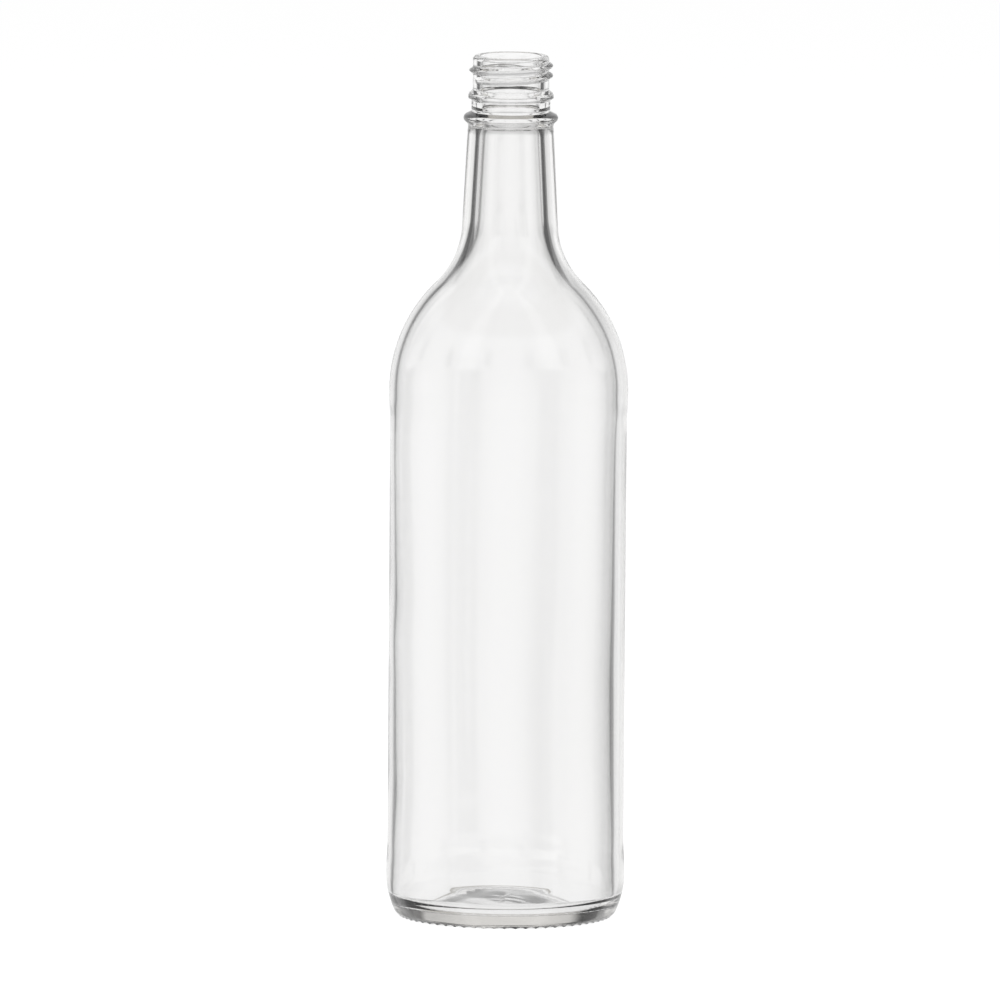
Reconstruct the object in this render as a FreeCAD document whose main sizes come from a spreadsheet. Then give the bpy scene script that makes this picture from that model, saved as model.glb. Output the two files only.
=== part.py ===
"""Clear glass liquor bottle of 750 ml, empty and without its cap.

The bottle is one piece of glass: a half section turned about Z, hollowed by a second one, with a
helix for the cap thread and a ring of knurls that it stands on. Every size comes from the sheet
"Size". Heights below the rim are called depths, so the finish, the neck and the shoulder keep
their form when the bottle is made taller or shorter.

Frame: millimetres, +Z up, origin at the centre of the plane that the knurls stand on.
"""
import FreeCAD, Part

import math
import os

import Sketcher

# Alias, value and meaning of each driving dimension: millimetres, degrees or a count.
# "Proud" sizes are radial: how far one surface stands beyond another.
DIMENSIONS = (
    ("bottle_height", 282.7, "standing plane to rim"),
    ("body_diameter", 77.3, "label panel"),
    ("body_wall", 3.3, "mean glass of the body"),
    ("neck_wall", 4.9, "glass of the neck"),
    # Base
    ("knurl_count", 64, "knurls round the bearing ring"),
    ("knurl_height", 0.5, "knurl below the bearing ring"),
    ("knurl_width", 2.0, "knurl at its root"),
    ("knurl_flat", 0.8, "flat that a knurl stands on"),
    ("knurl_shift", 0.4, "knurls outward from the bearing ring"),
    ("bearing_inset", 4.5, "heel band to the outer edge of the bearing ring"),
    ("bearing_width", 2.5, "bearing ring across"),
    ("push_up", 4.0, "standing plane to the base centre"),
    ("floor_thickness", 3.0, "glass at the base centre"),
    ("floor_dome", 240.0, "radius of the inner floor"),
    ("floor_corner", 4.0, "radius between inner floor and inner wall"),
    ("foot_radius", 2.0, "bearing ring to heel"),
    ("heel_radius", 28.0, "foot to heel band"),
    ("heel_proud", 0.3, "heel band beyond the label panel"),
    ("heel_top", 17.3, "upper edge of the heel band"),
    ("heel_bevel", 3.2, "height of the step from heel band to panel"),
    # Shoulder and neck
    ("shoulder_depth", 110.0, "rim to the start of the shoulder curve"),
    ("shoulder_proud", 0.4, "shoulder band beyond the label panel"),
    ("shoulder_band", 3.2, "height of the shoulder band"),
    ("shoulder_bevel", 5.2, "height of the step from panel to shoulder band"),
    ("shoulder_radius", 49.1, "convex curve of the shoulder"),
    ("neck_fillet", 28.1, "concave curve from shoulder to neck"),
    ("neck_taper", 2.9, "lean of the neck's side, degrees"),
    # Finish
    ("finish_diameter", 24.9, "plain wall of the finish"),
    ("finish_wall", 2.65, "glass between bore and plain wall"),
    ("rim_radius", 1.2, "outer edge of the rim"),
    ("lip_radius", 0.8, "inner edge of the rim"),
    ("neck_proud", 1.5, "neck under the bead, beyond the plain wall"),
    ("bead_depth", 20.4, "rim to the middle of the transfer bead"),
    ("bead_proud", 3.0, "transfer bead beyond the plain wall"),
    ("bead_radius", 1.4, "edge of the transfer bead"),
    ("bead_under", 2.05, "middle of the bead to its lower root"),
    ("bead_over", 2.15, "middle of the bead to its upper root"),
    ("collar_proud", 0.4, "collar above the bead, beyond the plain wall"),
    ("ring_depth", 14.05, "rim to the lower face of the locking ring"),
    ("ring_proud", 1.5, "locking ring beyond the plain wall"),
    ("ring_edge", 0.35, "radius of the locking ring's lower edge"),
    ("ring_land", 0.85, "lower face to the ring's upper curve"),
    ("ring_round", 1.5, "radius of the ring's upper curve"),
    ("ring_flank", 45.0, "lean of the ring's upper flank, degrees"),
    ("thread_pitch", 3.18, "cap thread"),
    ("thread_turns", 1.5, "length of the thread"),
    ("thread_start", -140.0, "azimuth of the thread's lower end, degrees"),
    ("thread_depth", 7.7, "rim to the thread's lower end"),
    ("thread_proud", 1.25, "thread beyond the plain wall"),
    ("thread_root", 2.0, "thread across at the wall"),
    ("thread_crest", 0.85, "thread across at its crest"),
    # Overlaps of features, so that none only touches another
    ("embed", 0.5, "thread and knurls into the glass"),
    ("overrun", 1.0, "bore past the rim"),
)


def make_sheet(document):
    """Fill the sheet of driving dimensions."""
    sheet = document.addObject("Spreadsheet::Sheet", "Size")
    for row, (alias, value, meaning) in enumerate(DIMENSIONS, start=1):
        sheet.set(f"A{row}", meaning)
        sheet.set(f"B{row}", str(value))
        sheet.setAlias(f"B{row}", alias)
    document.recompute()
    return sheet


def origin_feature(body, role):
    """Return the body's own origin plane or axis of that role."""
    return next(item for item in body.Origin.OriginFeatures if item.Role == role)


def point_between(start, end, distance):
    """Return the point at that distance from start, on the way to end."""
    share = distance / math.dist(start, end)
    return tuple(a + (b - a) * share for a, b in zip(start, end))


class Section:
    """A closed sketch drawn as one path, each corner placed by expressions on the sheet.

    A coordinate or radius given as text is an expression: it places the geometry and is bound to
    it. One given as a number is only where the solver starts, and tangency settles it.
    """

    ORIGIN_POINT = (-1, 1)
    VERTICAL_AXIS = -2
    START, END, CENTRE = 1, 2, 3

    def __init__(self, body, name, plane):
        self.sketch = body.newObject("Sketcher::SketchObject", name)
        self.sketch.AttachmentSupport = [(origin_feature(body, plane), "")]
        self.sketch.MapMode = "FlatFace"
        self.at = None
        self.tail = None
        self.head = None
        self.pending = {}

    def value(self, size):
        """Return the number that an expression has now, or the number itself."""
        return float(self.sketch.evalExpression(size)) if isinstance(size, str) else size

    def constrain(self, *parts):
        """Add one constraint and return its index."""
        return self.sketch.addConstraint(Sketcher.Constraint(*parts))

    def bind(self, name, parts, expression):
        """Add one named dimension, worked out by the sheet."""
        index = self.constrain(*parts, self.value(expression))
        self.sketch.renameConstraint(index, name)
        self.sketch.setExpression(f"Constraints.{name}", expression)

    def place(self, name, corner, x, y):
        """Bind those coordinates of a corner that are expressions."""
        for axis, size in (("X", x), ("Y", y)):
            if isinstance(size, str):
                self.bind(f"{name}_{axis.lower()}", (f"Distance{axis}", *self.ORIGIN_POINT, *corner), size)

    def start(self, x, y):
        """Begin the path at a corner that the first piece binds."""
        self.at = (self.value(x), self.value(y))
        self.pending = {"x": x, "y": y}

    def append(self, name, geometry, starts, ends, tangent):
        """Add a piece, join it to the last one and return its index."""
        index = self.sketch.addGeometry(geometry, False)
        first = (index, starts)
        if self.tail is None:
            self.head = first
            self.place(f"{name}_from", first, self.pending["x"], self.pending["y"])
        else:
            self.constrain("Tangent" if tangent else "Coincident", *self.tail, *first)
        self.tail = (index, ends)
        return index

    def line(self, name, x, y, tangent=False, lean=None):
        """Draw a line to (x, y). lean is its angle from +X in degrees, as an expression."""
        target = (self.value(x), self.value(y))
        geometry = Part.LineSegment(FreeCAD.Vector(*self.at), FreeCAD.Vector(*target))
        index = self.append(name, geometry, self.START, self.END, tangent)
        self.place(name, self.tail, x, y)
        if lean:
            self.bind(f"{name}_lean", ("Angle", index), f"({lean}) * 1 deg")
        self.at = target
        return index

    def line_up(self, name, y, tangent=False):
        """Draw a vertical line to the height y."""
        index = self.line(name, self.at[0], y, tangent)
        self.constrain("Vertical", index)

    def line_across(self, name, x, tangent=False):
        """Draw a horizontal line to x."""
        index = self.line(name, x, self.at[1], tangent)
        self.constrain("Horizontal", index)

    def arc(self, name, end, centre, radius=None, clockwise=False, tangent=True):
        """Draw an arc to end about centre, each a pair of expressions or starting numbers."""
        middle = tuple(self.value(size) for size in centre)
        target = tuple(self.value(size) for size in end)
        angles = [math.atan2(point[1] - middle[1], point[0] - middle[0]) for point in (self.at, target)]
        starts, ends = self.START, self.END
        if clockwise:
            angles.reverse()
            starts, ends = ends, starts
        circle = Part.Circle(FreeCAD.Vector(*middle), FreeCAD.Vector(0, 0, 1), math.dist(self.at, middle))
        index = self.append(name, Part.ArcOfCircle(circle, *angles), starts, ends, tangent)
        self.place(name, self.tail, *end)
        self.place(f"{name}_centre", (index, self.CENTRE), *centre)
        if radius:
            self.bind(f"{name}_radius", ("Radius", index), radius)
        self.at = target
        return index

    def on_axis(self, index, position):
        """Keep a point of a piece on the turning axis."""
        self.constrain("PointOnObject", index, position, self.VERTICAL_AXIS)

    def close(self, name):
        """Draw the last line, back to where the path began."""
        points = [self.sketch.getPoint(*corner) for corner in (self.tail, self.head)]
        index = self.append(name, Part.LineSegment(*points), self.START, self.END, False)
        self.constrain("Coincident", index, self.END, *self.head)
        return index


def heel_start(section, foot, heel_x):
    """Return the heel arc's centre and the point where it leaves the foot arc, to start from."""
    heel_radius = section.value("Size.heel_radius")
    foot_radius = section.value("Size.foot_radius")
    rise = math.sqrt((heel_radius - foot_radius) ** 2 - (heel_radius - (heel_x - foot[0])) ** 2)
    centre = (heel_x - heel_radius, foot[1] + rise)
    return centre, point_between(centre, foot, heel_radius)


def neck_start(shoulder, shoulder_radius, neck, neck_radius, taper):
    """Return where the neck's curve has its centre and both its ends, to start from.

    shoulder is the centre of the shoulder curve, neck a point of the neck's straight side, and
    taper the lean of that side in radians.
    """
    normal = (math.cos(taper), math.sin(taper))
    reach = shoulder_radius + neck_radius
    gap = sum((a - b) * n for a, b, n in zip(neck, shoulder, normal)) + neck_radius
    angle = taper + math.acos(gap / reach)
    centre = (shoulder[0] + reach * math.cos(angle), shoulder[1] + reach * math.sin(angle))
    foot = (centre[0] - neck_radius * normal[0], centre[1] - neck_radius * normal[1])
    return centre, point_between(shoulder, centre, shoulder_radius), foot


def shoulder_to_neck(section, wall_radius, shoulder_radius, neck_fillet, neck_x, neck_y):
    """Draw the shoulder curve, the neck's curve and the neck's straight side."""
    rounding = section.value(shoulder_radius)
    fillet = section.value(neck_fillet)
    shoulder = (section.value(wall_radius) - rounding, section.at[1])
    neck = (section.value(neck_x), section.value(neck_y))
    taper = math.radians(section.value("Size.neck_taper"))
    centre, leaves, lands = neck_start(shoulder, rounding, neck, fillet, taper)
    section.arc("shoulder", leaves, shoulder, radius=shoulder_radius)
    section.arc("fillet", lands, centre, radius=neck_fillet, clockwise=True)
    section.line("neck", neck_x, neck_y, tangent=True, lean="90 + Size.neck_taper")


def draw_base(section):
    """Draw the underside and the heel, from the axis to the label panel."""
    heel_x = "Size.body_diameter / 2 + Size.heel_proud"
    ring_outer = f"{heel_x} - Size.bearing_inset"
    ring_inner = f"{ring_outer} - Size.bearing_width"
    rise = section.value("Size.push_up") - section.value("Size.knurl_height")
    reach = section.value(ring_inner)
    dome = (reach ** 2 + rise ** 2) / (2 * rise)
    section.start(0.0, "Size.push_up")
    arc = section.arc("push_up", (ring_inner, "Size.knurl_height"),
                      (0.0, section.at[1] - dome), clockwise=True)
    section.on_axis(*section.head)
    section.on_axis(arc, section.CENTRE)
    section.line_across("bearing_ring", ring_outer)
    foot = (section.at[0], section.at[1] + section.value("Size.foot_radius"))
    centre, leaves = heel_start(section, foot, section.value(heel_x))
    section.arc("foot", leaves, foot, radius="Size.foot_radius")
    section.arc("heel", (section.value(heel_x), centre[1]), centre, radius="Size.heel_radius")
    band = section.line("heel_band", heel_x, "Size.heel_top", tangent=True)
    section.constrain("Vertical", band)
    section.line("heel_step", "Size.body_diameter / 2", "Size.heel_top + Size.heel_bevel")


def draw_body(section):
    """Draw the label panel, the shoulder and the neck."""
    top = "Size.bottle_height - Size.shoulder_depth"
    shoulder_x = "Size.body_diameter / 2 + Size.shoulder_proud"
    section.line_up("panel", f"{top} - Size.shoulder_band - Size.shoulder_bevel")
    section.line("shoulder_step", shoulder_x, f"{top} - Size.shoulder_band")
    section.line_up("shoulder_band", top)
    shoulder_to_neck(section, shoulder_x, "Size.shoulder_radius", "Size.neck_fillet",
                     "Size.finish_diameter / 2 + Size.neck_proud",
                     "Size.bottle_height - Size.bead_depth - Size.bead_under")


def draw_bead(section):
    """Draw the transfer bead and the collar above it."""
    middle = "Size.bottle_height - Size.bead_depth"
    centre_x = "Size.finish_diameter / 2 + Size.bead_proud - Size.bead_radius"
    collar_x = "Size.finish_diameter / 2 + Size.collar_proud"
    radius = section.value("Size.bead_radius")
    centre = (section.value(centre_x), section.value(middle))
    under = math.radians(-45)
    over = math.radians(70)
    tips = [(centre[0] + radius * math.cos(a), centre[1] + radius * math.sin(a)) for a in (under, over)]
    section.line("bead_under", *tips[0])
    section.arc("bead", tips[1], (centre_x, middle), radius="Size.bead_radius")
    section.line("bead_over", collar_x, f"{middle} + Size.bead_over", tangent=True)
    section.line_up("collar", "Size.bottle_height - Size.ring_depth")


def draw_ring(section):
    """Draw the locking ring, with a sharp lower edge and a sloping upper flank."""
    lower = "Size.bottle_height - Size.ring_depth"
    ring_x = "Size.finish_diameter / 2 + Size.ring_proud"
    edge = section.value("Size.ring_edge")
    rounding = section.value("Size.ring_round")
    outer = section.value(ring_x)
    section.line_across("ring_under", outer - edge)
    corner = (outer - edge, section.at[1] + edge)
    section.arc("ring_edge", (outer, corner[1]), corner, radius="Size.ring_edge")
    side = section.line("ring_side", ring_x, f"{lower} + Size.ring_land", tangent=True)
    section.constrain("Vertical", side)
    flank = math.radians(section.value("Size.ring_flank"))
    centre = (outer - rounding, section.at[1])
    leaves = (centre[0] + rounding * math.cos(flank), centre[1] + rounding * math.sin(flank))
    section.arc("ring_round", leaves, centre, radius="Size.ring_round")
    run = leaves[0] - section.value("Size.finish_diameter / 2")
    section.line("ring_flank", leaves[0] - run, leaves[1] + run / math.tan(flank), tangent=True,
                 lean="90 + Size.ring_flank")


def draw_rim(section):
    """Draw the plain wall of the finish and the rim, up to the axis."""
    radius = section.value("Size.rim_radius")
    finish_x = "Size.finish_diameter / 2"
    top = section.value("Size.bottle_height")
    wall = section.line("finish_wall", finish_x, top - radius)
    section.constrain("Vertical", wall)
    centre = (section.at[0] - radius, section.at[1])
    section.arc("rim", (centre[0], top), centre, radius="Size.rim_radius")
    lid = section.line("rim_plane", 0.0, "Size.bottle_height", tangent=True)
    section.constrain("Horizontal", lid)
    section.on_axis(*section.tail)
    section.close("axis")


def draw_cavity(section):
    """Draw the hollow: floor, wall, shoulder, neck and bore."""
    wall_x = "Size.body_diameter / 2 - Size.body_wall"
    bore_x = "Size.finish_diameter / 2 - Size.finish_wall"
    floor = "Size.push_up + Size.floor_thickness"
    dome = section.value("Size.floor_dome")
    corner = section.value("Size.floor_corner")
    section.start(0.0, floor)
    middle = (0.0, section.at[1] - dome)
    corner_x = section.value(wall_x) - corner
    corner_y = middle[1] + math.sqrt((dome + corner) ** 2 - corner_x ** 2)
    centre = (corner_x, corner_y)
    arc = section.arc("floor", point_between(middle, centre, dome), middle, radius="Size.floor_dome",
                      clockwise=True)
    section.on_axis(*section.head)
    section.on_axis(arc, section.CENTRE)
    section.arc("floor_corner", (section.value(wall_x), corner_y), centre, radius="Size.floor_corner")
    wall = section.line("wall", wall_x, "Size.bottle_height - Size.shoulder_depth", tangent=True)
    section.constrain("Vertical", wall)
    shoulder_to_neck(section, wall_x, "Size.shoulder_radius - Size.body_wall",
                     "Size.neck_fillet + Size.neck_wall",
                     "Size.finish_diameter / 2 + Size.neck_proud - Size.neck_wall",
                     "Size.bottle_height - Size.bead_depth - Size.bead_under")
    section.line("funnel", bore_x, "Size.bottle_height - Size.ring_depth")
    section.line_up("bore", "Size.bottle_height - Size.lip_radius")
    lip = section.value("Size.lip_radius")
    lip_centre = (section.at[0] + lip, section.at[1])
    arc = section.arc("lip", (lip_centre[0], lip_centre[1] + lip), lip_centre,
                      radius="Size.lip_radius", clockwise=True)
    section.constrain("Vertical", arc, section.CENTRE, *section.tail)
    section.line_up("mouth", "Size.bottle_height + Size.overrun")
    section.line_across("mouth_plane", 0.0)
    section.on_axis(*section.tail)
    section.close("axis")


def turn(body, kind, name, section):
    """Turn a section once about Z, as glass ("Revolution") or as a cut ("Groove")."""
    feature = body.newObject(f"PartDesign::{kind}", name)
    feature.Profile = section.sketch
    feature.ReferenceAxis = (section.sketch, ["V_Axis"])
    feature.Angle = 360.0
    return feature


def add_thread(body):
    """Wind the cap thread on the plain wall: right-handed, a trapezium in section."""
    section = Section(body, "ThreadSection", "XZ_Plane")
    sketch = section.sketch
    sketch.AttachmentOffset = FreeCAD.Placement(FreeCAD.Vector(), FreeCAD.Rotation(FreeCAD.Vector(0, 1, 0), 1))
    sketch.setExpression("AttachmentOffset.Rotation.Angle", "Size.thread_start * 1 deg")
    root_x = "Size.finish_diameter / 2 - Size.embed"
    crest_x = "Size.finish_diameter / 2 + Size.thread_proud"
    middle = "Size.bottle_height - Size.thread_depth"
    section.start(root_x, f"{middle} - Size.thread_root / 2")
    section.line("lower_flank", crest_x, f"{middle} - Size.thread_crest / 2")
    section.line("crest", crest_x, f"{middle} + Size.thread_crest / 2")
    section.line("upper_flank", root_x, f"{middle} + Size.thread_root / 2")
    section.close("root")
    helix = body.newObject("PartDesign::AdditiveHelix", "Thread")
    helix.Profile = sketch
    helix.ReferenceAxis = (sketch, ["V_Axis"])
    helix.Mode = "pitch-turns-angle"
    helix.setExpression("Pitch", "Size.thread_pitch")
    helix.setExpression("Turns", "Size.thread_turns")
    return helix


def add_knurls(body):
    """Stand the bearing ring on a ring of small radial bars."""
    section = Section(body, "KnurlSection", "YZ_Plane")
    sketch = section.sketch
    ring_inner = "Size.body_diameter / 2 + Size.heel_proud - Size.bearing_inset - Size.bearing_width"
    sketch.setExpression("AttachmentOffset.Base.z", f"{ring_inner} + Size.knurl_shift")
    root_y = "Size.knurl_height + Size.embed"
    section.start("Size.knurl_flat / 2", 0.0)
    section.line("side", "Size.knurl_width / 2", "Size.knurl_height")
    section.line("root_side", "Size.knurl_width / 2", root_y)
    section.line("root", "-Size.knurl_width / 2", root_y)
    section.line("far_root_side", "-Size.knurl_width / 2", "Size.knurl_height")
    section.line("far_side", "-Size.knurl_flat / 2", 0.0)
    flat = section.close("flat")
    section.constrain("PointOnObject", flat, section.START, -1)
    section.constrain("PointOnObject", flat, section.END, -1)
    bar = body.newObject("PartDesign::Pad", "Knurl")
    bar.Profile = sketch
    bar.setExpression("Length", "Size.bearing_width")
    ring = body.newObject("PartDesign::PolarPattern", "Knurls")
    ring.Originals = [bar]
    ring.Axis = (origin_feature(body, "Z_Axis"), [""])
    ring.Angle = 360.0
    ring.setExpression("Occurrences", "Size.knurl_count")
    body.Tip = ring
    return ring


def make_bottle(document):
    """Build the bottle as one body and return it."""
    body = document.addObject("PartDesign::Body", "Bottle")
    body.Label = "bottle"
    outside = Section(body, "OuterSection", "XZ_Plane")
    draw_base(outside)
    draw_body(outside)
    draw_bead(outside)
    draw_ring(outside)
    draw_rim(outside)
    turn(body, "Revolution", "Outside", outside)
    inside = Section(body, "CavitySection", "XZ_Plane")
    draw_cavity(inside)
    turn(body, "Groove", "Hollow", inside)
    add_thread(body)
    add_knurls(body)
    document.recompute()
    return body


def check(document):
    """Stop if any object failed, or if a step of the body did not change its volume as meant."""
    for item in document.Objects:
        if "Invalid" in item.State or "Error" in item.State:
            raise RuntimeError(f"{item.Name} failed: {item.State}")
        if item.isDerivedFrom("Sketcher::SketchObject") and not item.FullyConstrained:
            raise RuntimeError(f"{item.Name} is not fully constrained")
    outside, hollow, thread, knurls = (
        document.getObject(name).Shape.Volume for name in ("Outside", "Hollow", "Thread", "Knurls"))
    if not (hollow < outside and thread > hollow and knurls > thread):
        raise RuntimeError("a feature added or cut nothing")
    return outside - hollow


def write(body):
    """Write the body's one solid to parts/, named by its label."""
    shape = body.Shape
    if shape.isNull() or not shape.isValid() or len(shape.Solids) != 1:
        raise RuntimeError(f"{body.Label} is not one valid solid")
    os.makedirs("parts", exist_ok=True)
    shape.exportStep(os.path.join("parts", f"{body.Label}.step"))


def main():
    document = FreeCAD.newDocument("liquor_bottle")
    make_sheet(document)
    bottle = make_bottle(document)
    capacity = check(document)
    write(bottle)
    box = bottle.Shape.BoundBox
    print(f"bottle {box.XLength:.2f} x {box.YLength:.2f} x {box.ZLength:.2f} mm, "
          f"glass {bottle.Shape.Volume / 1000:.1f} ml, brimful {capacity / 1000:.0f} ml")


main()
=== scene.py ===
"""Looks of the clear glass liquor bottle: one glass shell, its finish, the studio and the camera.

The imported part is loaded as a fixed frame. The bottle's own glass is drawn here as half a section,
turned about Z, and then worked as the glass maker's mould and the blow would leave it: a cap thread
that runs out at both ends, knurls under the base, an uneven inner wall and a rippled floor.

Lengths are in metres, +Z is up, and the origin is the centre of the plane the bottle stands on.
"""

import logging
import math
from dataclasses import dataclass, field
from enum import Enum
from typing import Callable, Union

import bpy
from mathutils import Matrix, Vector

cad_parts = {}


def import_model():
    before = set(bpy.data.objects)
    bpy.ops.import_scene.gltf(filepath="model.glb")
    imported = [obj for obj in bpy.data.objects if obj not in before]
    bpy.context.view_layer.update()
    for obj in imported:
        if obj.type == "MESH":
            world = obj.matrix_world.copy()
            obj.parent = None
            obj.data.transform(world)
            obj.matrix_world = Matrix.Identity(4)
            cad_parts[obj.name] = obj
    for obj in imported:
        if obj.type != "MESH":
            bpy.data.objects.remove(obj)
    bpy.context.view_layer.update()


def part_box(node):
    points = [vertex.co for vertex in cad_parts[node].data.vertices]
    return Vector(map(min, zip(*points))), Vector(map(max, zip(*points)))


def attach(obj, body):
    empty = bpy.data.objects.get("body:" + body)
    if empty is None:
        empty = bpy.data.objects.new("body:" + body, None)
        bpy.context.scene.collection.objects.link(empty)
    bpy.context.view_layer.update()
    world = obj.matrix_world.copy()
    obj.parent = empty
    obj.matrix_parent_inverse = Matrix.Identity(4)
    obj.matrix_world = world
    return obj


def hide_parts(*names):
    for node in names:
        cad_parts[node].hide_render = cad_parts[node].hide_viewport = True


MM = 0.001
FULL_TURN = 2.0 * math.pi
NODE = "bottle"
BODY = "root"

Colour = tuple[float, float, float, float]
Value = Union[bpy.types.NodeSocket, float]

LOG = logging.getLogger("liquor_bottle")


class Push(Enum):
    """Which way a worked surface moves."""

    NORMAL = "NORMAL"
    UP = "Z"


def deselect_all() -> None:
    """Leave object mode's selection empty, with no active object."""
    bpy.ops.object.select_all(action="DESELECT")
    bpy.context.view_layer.objects.active = None


def make_active(piece: bpy.types.Object) -> None:
    """Select one object alone and make it active.

    Args:
        piece: the object to work on.
    """
    deselect_all()
    piece.select_set(True)
    bpy.context.view_layer.objects.active = piece


def ease(value: float, low: float, high: float) -> float:
    """Rise smoothly from 0 at low to 1 at high, or fall where low is the greater.

    Args:
        value: the place to read.
        low: the place where the result is 0.
        high: the place where the result is 1.

    Returns:
        A share from 0 to 1.
    """
    share = min(max((value - low) / (high - low), 0.0), 1.0)
    return share * share * (3.0 - 2.0 * share)


def smooth_curve(values: list[float], share: float) -> float:
    """Pass smoothly from the second of four values to the third.

    Args:
        values: four neighbouring values.
        share: 0 at the second value, 1 at the third.

    Returns:
        The value at that share.
    """
    before, low, high, after = values
    start, end = (high - before) / 2.0, (after - low) / 2.0
    square, cube = share ** 2, share ** 3
    return ((2.0 * cube - 3.0 * square + 1.0) * low + (cube - 2.0 * square + share) * start
            + (3.0 * square - 2.0 * cube) * high + (cube - square) * end)


@dataclass
class Outline:
    """Half a section, drawn point by point in the plane of X and Z.

    Attributes:
        points: the corners so far, each a radius and a height.
    """

    points: list[tuple[float, float]] = field(default_factory=list)

    def start(self, radius: float, height: float) -> None:
        """Set the first point."""
        self.points.append((radius, height))

    def line(self, radius: float, height: float, step: float) -> None:
        """Draw a straight line in equal steps.

        Args:
            radius: where the line ends, from the axis.
            height: where the line ends, above the standing plane.
            step: the longest distance between two points.
        """
        first = self.points[-1]
        count = max(1, math.ceil(math.dist(first, (radius, height)) / step))
        for index in range(1, count + 1):
            share = index / count
            self.points.append((first[0] + (radius - first[0]) * share,
                                first[1] + (height - first[1]) * share))

    def arc(self, centre: tuple[float, float], to_angle: float, step: float) -> None:
        """Draw an arc about a centre, the short way round.

        Args:
            centre: the middle of the arc, a radius and a height.
            to_angle: the direction of the arc's end from its centre, in radians.
            step: the longest distance between two points.
        """
        first = self.points[-1]
        rounding = math.dist(first, centre)
        from_angle = math.atan2(first[1] - centre[1], first[0] - centre[0])
        sweep = (to_angle - from_angle + math.pi) % FULL_TURN - math.pi
        count = max(1, math.ceil(abs(sweep) * rounding / step))
        for index in range(1, count + 1):
            angle = from_angle + sweep * index / count
            self.points.append((centre[0] + rounding * math.cos(angle),
                                centre[1] + rounding * math.sin(angle)))


@dataclass(frozen=True)
class SurfacePoint:
    """A point of the shell, told by its place and by the way the surface faces there.

    Attributes:
        radius: distance from the axis.
        azimuth: direction from the axis, in radians from +X.
        height: above the standing plane.
        outward: 1 where the surface faces straight away from the axis, -1 where it faces the axis.
        upward: 1 where it faces straight up.
    """

    radius: float
    azimuth: float
    height: float
    outward: float
    upward: float

    @classmethod
    def of(cls, vertex: bpy.types.MeshVertex) -> "SurfacePoint":
        """Read a vertex."""
        x, y, z = vertex.co
        radius = math.hypot(x, y)
        outward = (vertex.normal.x * x + vertex.normal.y * y) / radius if radius > 0.0 else 0.0
        return cls(radius, math.atan2(y, x), z, outward, vertex.normal.z)


@dataclass(frozen=True)
class Spacing:
    """The longest distance between two points of the section, for each run of it.

    Long plain runs are coarse. Rounded edges, and the wall that carries the thread, are fine.
    """

    panel: float = 6.0 * MM
    neck_side: float = 4.5 * MM
    dome: float = 2.4 * MM
    shoulder_bevel: float = 1.8 * MM
    band: float = 1.6 * MM
    shoulder: float = 1.5 * MM
    heel: float = 1.1 * MM
    collar: float = 1.0 * MM
    foot: float = 0.45 * MM
    bead_flank: float = 0.4 * MM
    bead_foot: float = 0.3 * MM
    rim_land: float = 0.3 * MM
    bead: float = 0.25 * MM
    ring: float = 0.25 * MM
    rim: float = 0.24 * MM
    thread_wall: float = 0.2 * MM
    ring_edge: float = 0.14 * MM
    inner_neck_side: float = 5.4 * MM
    inner_wall: float = 3.2 * MM
    bore: float = 2.0 * MM
    inner_shoulder: float = 1.8 * MM
    inner_floor: float = 1.6 * MM
    inner_corner: float = 1.0 * MM


@dataclass(frozen=True)
class WallLevel:
    """Thickness of the body's glass at one height.

    Attributes:
        height: above the standing plane.
        thin: glass on the side of -X.
        thick: glass on the side of +X.
    """

    height: float
    thin: float
    thick: float


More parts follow.
